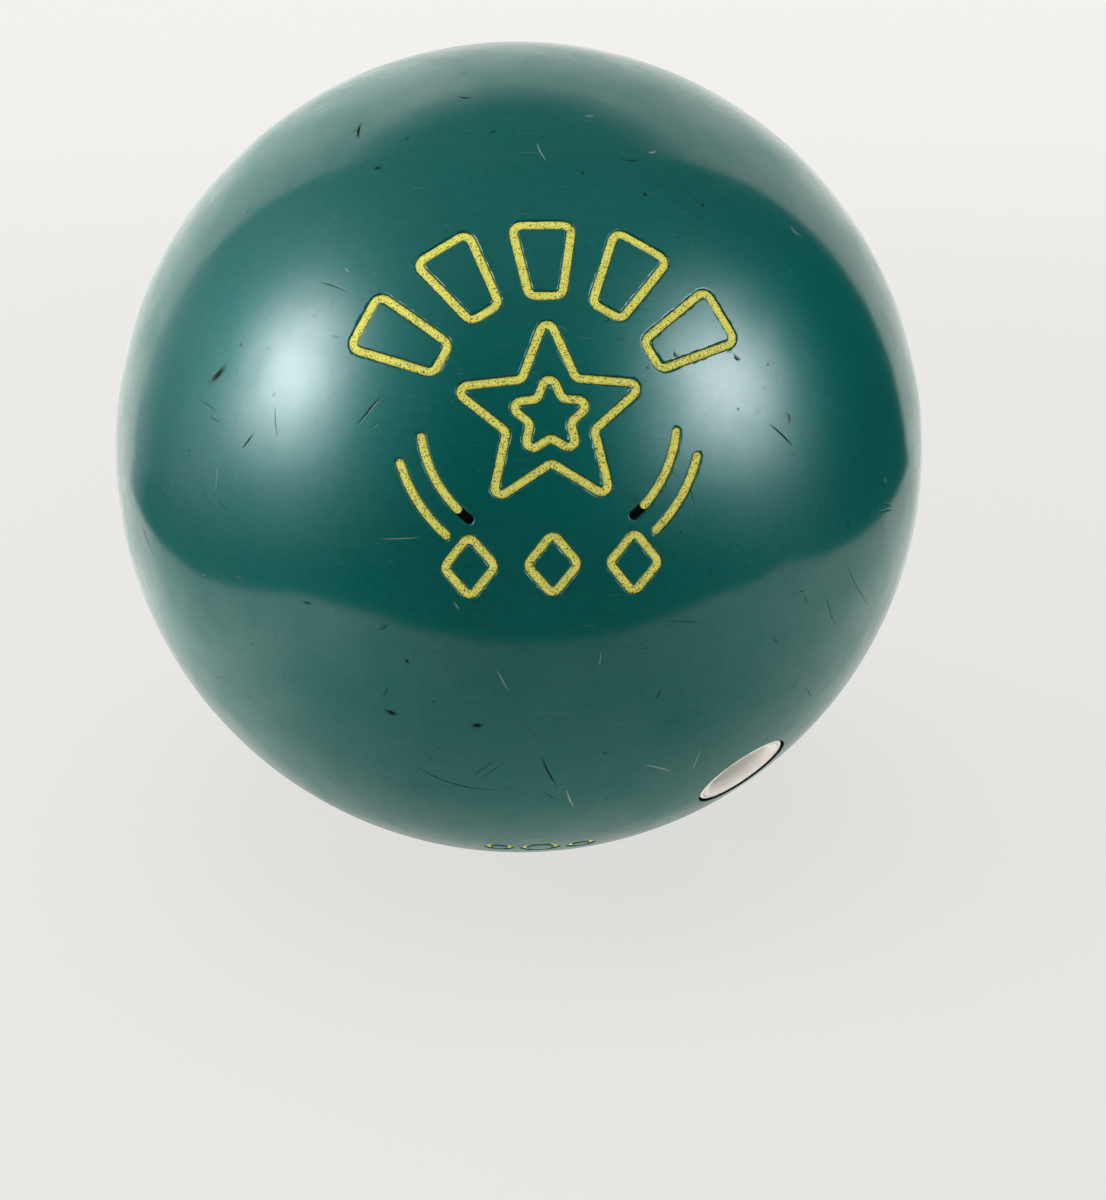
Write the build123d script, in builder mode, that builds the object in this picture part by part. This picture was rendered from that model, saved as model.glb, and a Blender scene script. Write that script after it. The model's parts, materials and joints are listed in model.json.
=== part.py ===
"""A drilled ten-pin bowling ball: a cast cover over a light core and a dense weight block,
with two finger inserts, a thumb slug and a paint-filled engraved emblem.

The origin is the centre of the ball. +Z points up as the ball rests, and the emblem faces -Y.
All lengths are in millimetres and all angles in degrees.
"""

from build123d import *

import math
import os

# Ball
BALL_RADIUS = 108.5
COVER_THICKNESS = 25.4
CORE_RADIUS = BALL_RADIUS - COVER_THICKNESS
CENTRE = (0, 0, 0)
# A sphere's seam is a half circle from pole to pole. This turn keeps it clear of every hole.
SEAM_TURN = (0, 0, 200)

# Places on the ball. Azimuth runs from -Y towards +X, and elevation from the equator up.
EMBLEM_AZIMUTH, EMBLEM_ELEVATION = 0, 22
LOWER_MARK_AZIMUTH, LOWER_MARK_ELEVATION = 0, -50.8
RING_FINGER_AZIMUTH, RING_FINGER_ELEVATION = 35.6, -35.8
# Bearings are compass directions on the surface: 0 is up towards the pole, 90 is to the right.
FINGER_PAIR_BEARING = 138

# Grip. The bridge and the span run along the surface from edge to edge of the drilled holes.
BRIDGE = 11.0
SPAN = 106.0

# Finger inserts
INSERT_RADIUS = 12.3
INSERT_LENGTH = 27.8
INSERT_LIP = 2.6
# The inserts sit this far under the surface of the ball.
INSERT_RECESS = 0.45
RING_BORE_RADIUS = 8.5
MIDDLE_BORE_RADIUS = 8.9
FINGER_HOLE_RADIUS = 12.65
FINGER_HOLE_DEPTH = 36.0

# Thumb slug
SLUG_RADIUS = 15.875
SLUG_LENGTH = 69.85
SLUG_LIP = 2.2
THUMB_BORE_RADIUS = 12.5
THUMB_BORE_DEPTH = 60.0
THUMB_HOLE_RADIUS = 16.15
DRILL_POINT_ANGLE = 118

# Every drilled hole has its edge broken by this much, and its glue stops short of the surface.
MOUTH_CHAMFER = 0.3
GLUE_RECESS = 0.8
INSERT_GLUE_RECESS = 1.3

# Weight block and its locator pin. Heights run along the pin's axis from the centre of the ball.
BULB_RADIUS = 38.0
BULB_HEIGHT = 22.0
STEM_RADIUS = 24.0
STEM_BOTTOM = -52.0
NECK_FILLET = 14.0
STEM_FILLET = 8.0
PIN_RADIUS = 3.2
PIN_SEAT_DEPTH = 10.0
PIN_SIDE_STEP = 7

# Engraving
LINE_WIDTH = 1.9
LOWER_LINE_WIDTH = 1.4
GROOVE_DEPTH = 1.0
PAINT_RECESS = 0.3
ENGRAVING_REACH = 14.0

# Emblem: a five-pointed star under a fan of rays, over a row of diamonds, between two pairs of arcs
STAR_CENTRE = (0, -3.0)
STAR_POINTS = 5
STAR_RADIUS = 21.5
STAR_WAIST = 9.6
STAR_ROUNDING = 1.4
INNER_STAR_SCALE = 0.46
RAY_SPACING = 30
RAY_COUNT = 5
RAY_INNER_RADIUS = 25.5
RAY_LENGTH = 16.0
OUTER_RAY_EXTRA = 2.5
RAY_ROOT_WIDTH = 7.0
RAY_TIP_WIDTH = 13.0
RAY_ROUNDING = 1.8
# Each arc has a radius about the star's centre, a starting angle and a sweep.
SIDE_ARCS = ((27.0, 187, 43), (32.5, 195, 32))
DIAMOND_COUNT = 3
DIAMOND_SPACING = 17.5
DIAMOND_Y = -33.5
DIAMOND_WIDTH = 11.0
DIAMOND_HEIGHT = 13.0
DIAMOND_ROUNDING = 1.4
# The paint has broken away in a spot of this radius at the lower end of each inner side arc.
CHIP_RADIUS = 1.2

# Lower mark: a hexagon between two smaller ones
HEXAGON_RADIUS = 4.6
SIDE_HEXAGON_RADIUS = 3.2
HEXAGON_SPACING = 10.5
HEXAGON_ROUNDING = 1.0


def facing(azimuth, elevation):
    """The unit vector from the centre of the ball towards a place on it."""
    turn, rise = math.radians(azimuth), math.radians(elevation)
    flat = math.cos(rise)
    return Vector(math.sin(turn) * flat, -math.cos(turn) * flat, math.sin(rise))


def eastward(place):
    """The unit vector along the surface, level and to the right, at a place on the ball."""
    return Vector(0, 0, 1).cross(place).normalized()


def travel(start, bearing, arc):
    """The place reached from start along a bearing. The arc is an angle at the ball's centre."""
    east = eastward(start)
    north = start.cross(east)
    turn, reach = math.radians(bearing), math.radians(arc)
    ahead = north * math.cos(turn) + east * math.sin(turn)
    return start * math.cos(reach) + ahead * math.sin(reach)


def bearing_of(place, ahead):
    """The bearing, at a place on the ball, of a vector along the surface."""
    east = eastward(place)
    return math.degrees(math.atan2(ahead.dot(east), ahead.dot(place.cross(east))))


def arc_of(length):
    """The angle at the ball's centre of a length along the surface."""
    return math.degrees(length / BALL_RADIUS)


def plane_towards(place, height=0):
    """A plane at a height from the ball's centre, with +Z out through a place and +X level."""
    return Plane(origin=place * height, x_dir=eastward(place), z_dir=place)


# Places of the holes, the pin and the engravings
emblem = facing(EMBLEM_AZIMUTH, EMBLEM_ELEVATION)
lower_mark = facing(LOWER_MARK_AZIMUTH, LOWER_MARK_ELEVATION)
ring_finger = facing(RING_FINGER_AZIMUTH, RING_FINGER_ELEVATION)
middle_finger = travel(
    ring_finger, FINGER_PAIR_BEARING, arc_of(BRIDGE + 2 * FINGER_HOLE_RADIUS)
)
between_fingers = (ring_finger + middle_finger).normalized()
thumbward = bearing_of(between_fingers, between_fingers.cross(middle_finger - ring_finger))
grip_arc = arc_of(SPAN + FINGER_HOLE_RADIUS + THUMB_HOLE_RADIUS)
thumb = travel(between_fingers, thumbward, grip_arc)
palm = travel(between_fingers, thumbward, grip_arc / 2)
pin = travel(palm, thumbward + 90, PIN_SIDE_STEP)

block_top = BULB_HEIGHT + BULB_RADIUS
pin_seat = block_top - PIN_SEAT_DEPTH

# Each drilled hole has a place, a radius and the height of its floor from the ball's centre.
grip_holes = (
    (ring_finger, FINGER_HOLE_RADIUS, BALL_RADIUS - FINGER_HOLE_DEPTH),
    (middle_finger, FINGER_HOLE_RADIUS, BALL_RADIUS - FINGER_HOLE_DEPTH),
    (thumb, THUMB_HOLE_RADIUS, BALL_RADIUS - SLUG_LENGTH),
)


def drill(place, radius, floor):
    """Cuts a straight hole towards the centre of the ball, down to the height of its floor."""
    with Locations(plane_towards(place, floor)):
        Cylinder(
            radius,
            BALL_RADIUS + 1 - floor,
            align=(Align.CENTER, Align.CENTER, Align.MIN),
            mode=Mode.SUBTRACT,
        )


def drill_all():
    """Cuts the grip holes and the pin's hole from the part being built."""
    for place, radius, floor in grip_holes:
        drill(place, radius, floor)
    drill(pin, PIN_RADIUS, pin_seat)


def break_edge(place, radius):
    """Cuts a narrow 45-degree bevel around the mouth of a hole."""
    rim = math.sqrt(BALL_RADIUS**2 - radius**2) - MOUTH_CHAMFER
    rise = BALL_RADIUS + 1 - rim
    with Locations(plane_towards(place, rim)):
        Cone(
            radius,
            radius + rise,
            rise,
            align=(Align.CENTER, Align.CENTER, Align.MIN),
            mode=Mode.SUBTRACT,
        )


def lathe_plane(place):
    """A plane through the line from the centre to a place. Its +Y runs along that line."""
    east = eastward(place)
    return Plane(origin=CENTRE, x_dir=east, z_dir=east.cross(place))


def wall(inner, outer, bottom, top):
    """Adds half the section of a turned piece to the sketch, with its end curved like the ball."""
    with Locations((inner, bottom)):
        Rectangle(outer - inner, BALL_RADIUS - bottom, align=(Align.MIN, Align.MIN))
    Circle(top, mode=Mode.INTERSECT)


def round_lip(profile, bore_radius, rounding):
    """Rounds the corner of a section where the bore meets its curved end."""
    corner = profile.vertices().sort_by_distance((bore_radius, BALL_RADIUS))[0]
    fillet(corner, rounding)


def finish(part, name):
    """Names a finished piece and writes it to its own file."""
    part.label = name
    export_step(part, f"parts/{name}.step")


def band(shape, width):
    """Adds a band along the outline of a closed shape to the sketch being built."""
    offset(shape, amount=width / 2, kind=Kind.ARC, mode=Mode.ADD)
    offset(shape, amount=-width / 2, kind=Kind.INTERSECTION, mode=Mode.SUBTRACT)


def star(scale):
    """A five-pointed star with its points rounded, one point up, about the origin."""
    tips = [
        (
            math.sin(math.pi * corner / STAR_POINTS),
            math.cos(math.pi * corner / STAR_POINTS),
        )
        for corner in range(2 * STAR_POINTS)
    ]
    reaches = [STAR_RADIUS * scale, STAR_WAIST * scale] * STAR_POINTS
    with BuildSketch() as shape:
        Polygon(*((x * reach, y * reach) for (x, y), reach in zip(tips, reaches)), align=None)
        fillet(shape.vertices(), STAR_ROUNDING)
    return shape.sketch.moved(Location(STAR_CENTRE))


def ray(number):
    """One ray of the fan, counted from the middle, pointing away from the star."""
    length = RAY_LENGTH + OUTER_RAY_EXTRA * abs(number) / 2
    half_root, half_tip = RAY_ROOT_WIDTH / 2, RAY_TIP_WIDTH / 2
    inner, outer = RAY_INNER_RADIUS, RAY_INNER_RADIUS + length
    with BuildSketch() as shape:
        Polygon(
            (-half_root, inner), (half_root, inner), (half_tip, outer), (-half_tip, outer), align=None
        )
        fillet(shape.vertices(), RAY_ROUNDING)
    return shape.sketch.rotate(Axis.Z, -number * RAY_SPACING).moved(Location(STAR_CENTRE))


def diamond(number):
    """One diamond of the row, counted from the middle."""
    half_width, half_height = DIAMOND_WIDTH / 2, DIAMOND_HEIGHT / 2
    with BuildSketch() as shape:
        Polygon(
            (0, -half_height), (half_width, 0), (0, half_height), (-half_width, 0), align=None
        )
        fillet(shape.vertices(), DIAMOND_ROUNDING)
    return shape.sketch.moved(Location((number * DIAMOND_SPACING, DIAMOND_Y)))


def hexagon(x, radius):
    """A hexagon of the lower mark, with a level top and rounded corners."""
    with BuildSketch() as shape:
        RegularPolygon(radius, 6)
        fillet(shape.vertices(), HEXAGON_ROUNDING)
    return shape.sketch.moved(Location((x, 0)))


def side_arc(radius, start, sweep):
    """The middle line of an arc about the star's centre."""
    with BuildLine() as line:
        CenterArc(STAR_CENTRE, radius, start, sweep)
    return line.wire()


def groove(sketch, depth):
    """Cuts or keeps the engraving of a sketch, from outside the ball down to a depth under it."""
    extrude(sketch, amount=ENGRAVING_REACH, both=True)
    Sphere(BALL_RADIUS - depth, rotation=SEAM_TURN, mode=Mode.SUBTRACT)


# The outlines of the emblem and of the lower mark, on planes that touch the ball
with BuildSketch(plane_towards(emblem, BALL_RADIUS)) as emblem_outline:
    band(star(1), LINE_WIDTH)
    band(star(INNER_STAR_SCALE), LINE_WIDTH)
    for number in range(RAY_COUNT):
        band(ray(number - RAY_COUNT // 2), LINE_WIDTH)
    for number in range(DIAMOND_COUNT):
        band(diamond(number - DIAMOND_COUNT // 2), LINE_WIDTH)
    for radius, start, sweep in SIDE_ARCS:
        SlotArc(side_arc(radius, start, sweep), LINE_WIDTH)
        SlotArc(side_arc(radius, 180 - start, -sweep), LINE_WIDTH)

with BuildSketch(plane_towards(lower_mark, BALL_RADIUS)) as lower_outline:
    band(hexagon(0, HEXAGON_RADIUS), LOWER_LINE_WIDTH)
    band(hexagon(-HEXAGON_SPACING, SIDE_HEXAGON_RADIUS), LOWER_LINE_WIDTH)
    band(hexagon(HEXAGON_SPACING, SIDE_HEXAGON_RADIUS), LOWER_LINE_WIDTH)

# Grooves: the space that each engraving takes out of the ball
with BuildPart() as emblem_groove:
    groove(emblem_outline.sketch, GROOVE_DEPTH)

with BuildPart() as lower_groove:
    groove(lower_outline.sketch, GROOVE_DEPTH)

os.makedirs("parts", exist_ok=True)

# Cover: the cast shell, drilled, with its hole edges broken, and engraved
with BuildPart() as coverstock:
    Sphere(BALL_RADIUS, rotation=SEAM_TURN)
    Sphere(CORE_RADIUS, rotation=SEAM_TURN, mode=Mode.SUBTRACT)
    drill_all()
    for place, radius, _ in grip_holes:
        break_edge(place, radius)
    add(emblem_groove.part, mode=Mode.SUBTRACT)
    add(lower_groove.part, mode=Mode.SUBTRACT)
finish(coverstock.part, "coverstock")

# Weight block: a light-bulb shape cast around the end of the pin
with BuildPart() as block_blank:
    with BuildSketch(lathe_plane(pin)) as bulb:
        with Locations((0, BULB_HEIGHT)):
            Circle(BULB_RADIUS)
        with Locations((0, STEM_BOTTOM)):
            Rectangle(2 * STEM_RADIUS, BULB_HEIGHT - STEM_BOTTOM, align=(Align.CENTER, Align.MIN))
        feet = bulb.vertices().group_by(Axis.Y)[0]
        fillet(feet, STEM_FILLET)
        necks = bulb.vertices().filter_by_position(Axis.Y, STEM_BOTTOM / 2, BULB_HEIGHT)
        fillet(necks, NECK_FILLET)
        split(bisect_by=Plane.YZ)
    revolve(axis=Axis(CENTRE, tuple(pin)))

with BuildPart() as weight_block:
    add(block_blank.part)
    drill_all()
finish(weight_block.part, "weight_block")

# Filler: everything inside the cover that the weight block leaves
with BuildPart() as core_filler:
    Sphere(CORE_RADIUS, rotation=SEAM_TURN)
    drill_all()
    add(block_blank.part, mode=Mode.SUBTRACT)
finish(core_filler.part, "core_filler")

# Pin: the rod that held the weight block in the mould, cut off flush with the ball
with BuildPart() as locator_pin:
    with BuildSketch(lathe_plane(pin)):
        wall(0, PIN_RADIUS, pin_seat, BALL_RADIUS)
    revolve(axis=Axis(CENTRE, tuple(pin)))
finish(locator_pin.part, "locator_pin")

# Finger inserts: open tubes with a rounded lip, each in a sleeve of glue
for finger, place, bore_radius in (
    ("ring_finger", ring_finger, RING_BORE_RADIUS),
    ("middle_finger", middle_finger, MIDDLE_BORE_RADIUS),
):
    insert_top = BALL_RADIUS - INSERT_RECESS
    insert_bottom = insert_top - INSERT_LENGTH
    glue_top = BALL_RADIUS - INSERT_GLUE_RECESS
    with BuildPart() as insert:
        with BuildSketch(lathe_plane(place)) as section:
            wall(bore_radius, INSERT_RADIUS, insert_bottom, insert_top)
            round_lip(section, bore_radius, INSERT_LIP)
        revolve(axis=Axis(CENTRE, tuple(place)))
    finish(insert.part, f"{finger}_insert")

    with BuildPart() as insert_glue:
        with BuildSketch(lathe_plane(place)):
            wall(INSERT_RADIUS, FINGER_HOLE_RADIUS, insert_bottom, glue_top)
        revolve(axis=Axis(CENTRE, tuple(place)))
    finish(insert_glue.part, f"{finger}_glue")

# Thumb slug: a solid plug glued in the thumb hole, then drilled for the thumb
slug_bottom = BALL_RADIUS - SLUG_LENGTH
thumb_floor = BALL_RADIUS - THUMB_BORE_DEPTH
drill_point = THUMB_BORE_RADIUS / math.tan(math.radians(DRILL_POINT_ANGLE / 2))
with BuildPart() as thumb_slug:
    with BuildSketch(lathe_plane(thumb)) as section:
        wall(0, SLUG_RADIUS, slug_bottom, BALL_RADIUS)
        with BuildLine():
            Polyline(
                (0, thumb_floor - drill_point),
                (THUMB_BORE_RADIUS, thumb_floor),
                (THUMB_BORE_RADIUS, BALL_RADIUS + 1),
                (0, BALL_RADIUS + 1),
                close=True,
            )
        make_face(mode=Mode.SUBTRACT)
        round_lip(section, THUMB_BORE_RADIUS, SLUG_LIP)
    revolve(axis=Axis(CENTRE, tuple(thumb)))
finish(thumb_slug.part, "thumb_slug")

with BuildPart() as thumb_glue:
    with BuildSketch(lathe_plane(thumb)):
        wall(SLUG_RADIUS, THUMB_HOLE_RADIUS, slug_bottom, BALL_RADIUS - GLUE_RECESS)
    revolve(axis=Axis(CENTRE, tuple(thumb)))
finish(thumb_glue.part, "thumb_glue")

# Paint: fills each groove to just under the surface, with a chip lost at the end of two arcs
inner_arc = side_arc(*SIDE_ARCS[0])
chip = inner_arc @ 1
with BuildPart() as emblem_paint:
    add(emblem_groove.part)
    Sphere(BALL_RADIUS - PAINT_RECESS, rotation=SEAM_TURN, mode=Mode.INTERSECT)
    with BuildSketch(plane_towards(emblem, BALL_RADIUS)):
        with Locations((chip.X, chip.Y), (-chip.X, chip.Y)):
            Circle(CHIP_RADIUS)
    extrude(amount=ENGRAVING_REACH, both=True, mode=Mode.SUBTRACT)
finish(emblem_paint.part, "emblem_paint")

with BuildPart() as lower_mark_paint:
    add(lower_groove.part)
    Sphere(BALL_RADIUS - PAINT_RECESS, rotation=SEAM_TURN, mode=Mode.INTERSECT)
finish(lower_mark_paint.part, "lower_mark_paint")
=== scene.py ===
"""The looks of a used, drilled bowling ball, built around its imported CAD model.

Lengths in this script are millimetres until to_object() makes a mesh, which scales them to metres.
The origin is the centre of the ball, +Z is up and the emblem faces -Y, as in the CAD model.
A place on the ball is an azimuth, from -Y towards +X, and an elevation, both in degrees.
"""

import json
import random
from collections import namedtuple
from math import acos, asin, atan2, ceil, cos, degrees, pi, radians, remainder, sin, sqrt, tan, tau

import bpy
import numpy as np
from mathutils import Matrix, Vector, noise
from mathutils.geometry import delaunay_2d_cdt
from mathutils.kdtree import KDTree


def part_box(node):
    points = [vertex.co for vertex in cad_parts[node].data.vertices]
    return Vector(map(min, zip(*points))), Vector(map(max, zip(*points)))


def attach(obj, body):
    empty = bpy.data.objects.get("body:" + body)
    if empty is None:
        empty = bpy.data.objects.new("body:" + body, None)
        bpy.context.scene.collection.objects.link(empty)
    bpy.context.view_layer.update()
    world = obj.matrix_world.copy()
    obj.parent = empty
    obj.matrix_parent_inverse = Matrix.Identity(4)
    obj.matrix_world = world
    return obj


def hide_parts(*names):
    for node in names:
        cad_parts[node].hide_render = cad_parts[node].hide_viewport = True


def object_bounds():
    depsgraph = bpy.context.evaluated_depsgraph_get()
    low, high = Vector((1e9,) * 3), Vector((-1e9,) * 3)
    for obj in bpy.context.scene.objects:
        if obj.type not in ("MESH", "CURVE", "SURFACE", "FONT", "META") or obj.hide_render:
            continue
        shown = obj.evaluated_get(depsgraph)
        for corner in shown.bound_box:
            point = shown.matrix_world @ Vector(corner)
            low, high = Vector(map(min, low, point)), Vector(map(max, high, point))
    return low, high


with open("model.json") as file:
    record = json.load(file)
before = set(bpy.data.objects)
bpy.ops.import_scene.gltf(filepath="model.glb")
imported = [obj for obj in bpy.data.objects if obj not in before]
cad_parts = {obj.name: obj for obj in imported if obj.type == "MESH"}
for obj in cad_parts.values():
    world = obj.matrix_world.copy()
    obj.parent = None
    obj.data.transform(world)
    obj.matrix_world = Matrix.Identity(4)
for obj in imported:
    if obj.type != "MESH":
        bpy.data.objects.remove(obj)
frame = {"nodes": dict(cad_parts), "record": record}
cad_box = [list(corner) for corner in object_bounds()]

METRE = 0.001
BALL_RADIUS = (cad_box[1][2] - cad_box[0][2]) / 2 / METRE
CORE_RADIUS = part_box("core_filler")[1].z / METRE

# Engraving, as in the CAD model
EMBLEM_PLACE = (0, 22)
LOWER_MARK_PLACE = (0, -50.8)
LINE_WIDTH = 1.9
LOWER_LINE_WIDTH = 1.4
GROOVE_DEPTH = 1.0
# The groove's wall and worn edge, as (distance past half its width, depth)
GROOVE_WALL = ((-0.05, GROOVE_DEPTH), (0, 0.6), (0.08, 0.3), (0.2, 0))
PAINT_RECESS = 0.3
STAR_CENTRE = (0, -3.0)
STAR_POINTS = 5
STAR_RADIUS = 21.5
STAR_WAIST = 9.6
STAR_ROUNDING = 1.4
INNER_STAR_SCALE = 0.46
RAY_SPACING = 30
RAY_NUMBERS = range(-2, 3)
RAY_INNER_RADIUS = 25.5
RAY_LENGTH = 16.0
OUTER_RAY_EXTRA = 2.5
RAY_ROOT_WIDTH = 7.0
RAY_TIP_WIDTH = 13.0
RAY_ROUNDING = 1.8
SIDE_ARCS = ((27.0, 187, 43), (32.5, 195, 32))
DIAMOND_NUMBERS = range(-1, 2)
DIAMOND_SPACING = 17.5
DIAMOND_Y = -33.5
DIAMOND_WIDTH = 11.0
DIAMOND_HEIGHT = 13.0
DIAMOND_ROUNDING = 1.4
CHIP_RADIUS = 1.2
HEXAGONS = ((0, 4.6), (-10.5, 3.2), (10.5, 3.2))
HEXAGON_ROUNDING = 1.0

# Holes and what fills them, as in the CAD model
INSERT_RADIUS = 12.3
INSERT_LENGTH = 27.8
INSERT_RECESS = 0.45
INSERT_GLUE_RECESS = 1.3
INSERT_LIP = 2.6
INSERT_EDGE = 0.4
RING_BORE_RADIUS = 8.5
MIDDLE_BORE_RADIUS = 8.9
FINGER_HOLE_RADIUS = 12.65
SLUG_RADIUS = 15.875
SLUG_LENGTH = 69.85
SLUG_LIP = 2.2
THUMB_BORE_RADIUS = 12.5
THUMB_BORE_DEPTH = 60.0
THUMB_HOLE_RADIUS = 16.15
DRILL_POINT_ANGLE = 118
MOUTH_CHAMFER = 0.3
GLUE_RECESS = 0.8
PIN_RADIUS = 3.2
PIN_SEAM = 0.04

# Scratches: their depth grows with their width, and their ends fade out
SCRATCH_LEAST, SCRATCH_GROWTH, SCRATCH_MOST = 0.008, 0.05, 0.1
TAPER_END, TAPER_POWER = 0.03, 0.6

# Paint: the gap to the groove's wall, and the section as (share of half the width, depth)
PAINT_GAP = 0.03
PAINT_SECTION = ((1, 0.1), (0.8, 0.03), (0, 0), (-0.8, 0.03), (-1, 0.1), (-1, 0.7), (1, 0.7))
PAINT_TOP = 0.5
PAINT_WOBBLE, PAINT_LUMPS = 0.05, 0.09

# Finish of the cover
COVER_ROUGHNESS = 0.45
# This share of the satin gloss under the polish takes the cover's own colour.
COVER_TINTED_GLOSS = 0.32
GLOSS_TINT = (0.05, 1.0, 0.98)
COVER_ROUGHNESS_RANGE = COVER_ROUGHNESS - 0.03, COVER_ROUGHNESS + 0.04
# The polish from its whole patches to its smudged ones
COAT_WEIGHT_RANGE = 1.0, 0.68
COAT_ROUGHNESS = 0.13

# Light, as radiances with white paper at about 0.8
OVERHEAD = 3.5
LEFT_FILL = 3.5
TABLE_BOUNCE = 1.1
TABLE_FRONT, TABLE_LEFT, TABLE_RIGHT, TABLE_BACK = 0.5, 1.3, 0.97, 1.08
ROOM_FRONT, ROOM_LEFT, ROOM_TOP = 0.01, 0.32, 0.17
ROOM_SWEEP = (-127, 122)
# The edge of the table from its left end round the front to its right end, in metres
# Its points are rounded from what a program found in the mirror image on the ball in the photo.
TABLE_OUTLINE = ((-0.46, 0.5), (-0.32, -0.02), (-0.28, -0.2), (-0.18, -0.25))
TABLE_OUTLINE += ((0.2, -0.26), (0.36, -0.2), (0.43, 0.05), (0.56, 0.5))
DAYLIGHT = (1.0, 0.985, 0.95)
ROOM_TINT = (0.95, 1.0, 1.0)
WINDOW_TINT = (1.02, 0.925, 0.965)
# Each patch of window light has an azimuth, an elevation, a radiance and a width in degrees
# They started from programs' readings of the photo and were then tuned against renders.
WINDOWS = ((-71, 31, 7.7, 9), (-70, 21, 8.9, 9), (-88, 6, 0.6, 12), (-64, 8, 0.75, 11))
WINDOWS += ((-80, 27, 1.1, 18), (55.5, 26, 12.2, 10.8), (38, 14, 1.2, 9), (62, 8, 0.85, 11))

# Mesh density. A clearance keeps the scattered points away from a line or a hole.
BASE_SPACING, BASE_CLEARANCE = 3.4, 0.9
EMBLEM_SPACING, EMBLEM_CLEARANCE = 1.5, 0.45
EMBLEM_REACH = 52.0
HOLE_CLEARANCE = 1.2
INNER_SPACING, INNER_CLEARANCE = 9.0, 6
CELL_AREA = 0.87
ROW_TOLERANCE = 0.02
MERGE_DISTANCE = 1e-5
ARC_STEP = 0.45
EDGE_STEP = 1.1
HOLE_SIDES = 96
TURN_SIDES = 128


# ---- places on the ball


def unit(vector):
    return vector / np.linalg.norm(vector)


def unit_rows(rows):
    return rows / np.linalg.norm(rows, axis=1)[:, None]


def facing(azimuth, elevation):
    """The unit vector from the centre of the ball towards a place on it."""
    turn, rise = radians(azimuth), radians(elevation)
    flat = cos(rise)
    return np.array([sin(turn) * flat, -cos(turn) * flat, sin(rise)])


def axes_at(place):
    """East, north and outward unit vectors at a unit vector on the ball."""
    east = unit(np.cross((0, 0, 1), place))
    return np.array([east, np.cross(place, east), place])


def raise_from(flat, axes):
    """Points of the plane that touches the ball, moved straight onto the ball."""
    height = np.sqrt(np.maximum(BALL_RADIUS**2 - (flat**2).sum(1), 0))
    return np.column_stack([flat, height]) @ axes


# ---- outlines in a plane


def spokes(angles):
    return np.column_stack([np.cos(angles), np.sin(angles)])


def arc_points(centre, radius, start, sweep, step):
    """Points along an arc, both ends included. Angles are in radians."""
    count = max(2, ceil(abs(sweep) * radius / step) + 1)
    return centre + radius * spokes(start + sweep * np.linspace(0, 1, count))


def rounded(corners, rounding):
    """A closed outline through corners, each rounded off with an arc, sampled finely."""
    corners = np.asarray(corners, float)
    outline = []
    for before, corner, after in zip(np.roll(corners, 1, 0), corners, np.roll(corners, -1, 0)):
        back, ahead = unit(before - corner), unit(after - corner)
        half = acos(np.clip(back @ ahead, -1, 1)) / 2
        centre = corner + unit(back + ahead) * rounding / sin(half)
        first = corner + back * rounding / tan(half) - centre
        last = corner + ahead * rounding / tan(half) - centre
        start = atan2(first[1], first[0])
        sweep = remainder(atan2(last[1], last[0]) - start, tau)
        outline.append(arc_points(centre, rounding, start, sweep, ARC_STEP))
    path = []
    for arc, following in zip(outline, outline[1:] + outline[:1]):
        gap = following[0] - arc[-1]
        count = ceil(np.linalg.norm(gap) / EDGE_STEP)
        path += list(arc) + [arc[-1] + gap * k / count for k in range(1, count)]
    return np.array(path)


def star(scale):
    """The emblem's five-pointed star."""
    angles = [pi * corner / STAR_POINTS for corner in range(2 * STAR_POINTS)]
    reaches = [STAR_RADIUS * scale, STAR_WAIST * scale] * STAR_POINTS
    corners = [(sin(a) * r, cos(a) * r) for a, r in zip(angles, reaches)]
    return rounded(corners, STAR_ROUNDING) + STAR_CENTRE


def ray(number):
    """One ray of the fan over the star, counted from the middle."""
    inner = RAY_INNER_RADIUS
    outer = inner + RAY_LENGTH + OUTER_RAY_EXTRA * abs(number) / 2
    root, tip = RAY_ROOT_WIDTH / 2, RAY_TIP_WIDTH / 2
    shape = rounded([(-root, inner), (root, inner), (tip, outer), (-tip, outer)], RAY_ROUNDING)
    turn = -radians(number * RAY_SPACING)
    across, up = (cos(turn), sin(turn)), (-sin(turn), cos(turn))
    return shape @ np.array([across, up]) + STAR_CENTRE


def diamond(number):
    """One diamond of the row under the star, counted from the middle."""
    wide, high = DIAMOND_WIDTH / 2, DIAMOND_HEIGHT / 2
    shape = rounded([(0, -high), (wide, 0), (0, high), (-wide, 0)], DIAMOND_ROUNDING)
    return shape + (number * DIAMOND_SPACING, DIAMOND_Y)


def hexagon(x, radius):
    """One hexagon of the lower mark."""
    angles = [pi * corner / 3 for corner in range(6)]
    corners = [(radius * cos(a), radius * sin(a)) for a in angles]
    return rounded(corners, HEXAGON_ROUNDING) + (x, 0)


def side_arc(radius, start, sweep):
    """One open arc about the star's centre."""
    angles = radians(start), radians(sweep)
    return arc_points(STAR_CENTRE, radius, *angles, EDGE_STEP)


def side_normals(path, closed):
    """The unit normal to the left of a path at each of its points."""
    if closed:
        along = np.roll(path, -1, 0) - np.roll(path, 1, 0)
    else:
        along = np.gradient(path, axis=0)
    along = unit_rows(along)
    return np.column_stack([-along[:, 1], along[:, 0]])


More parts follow.
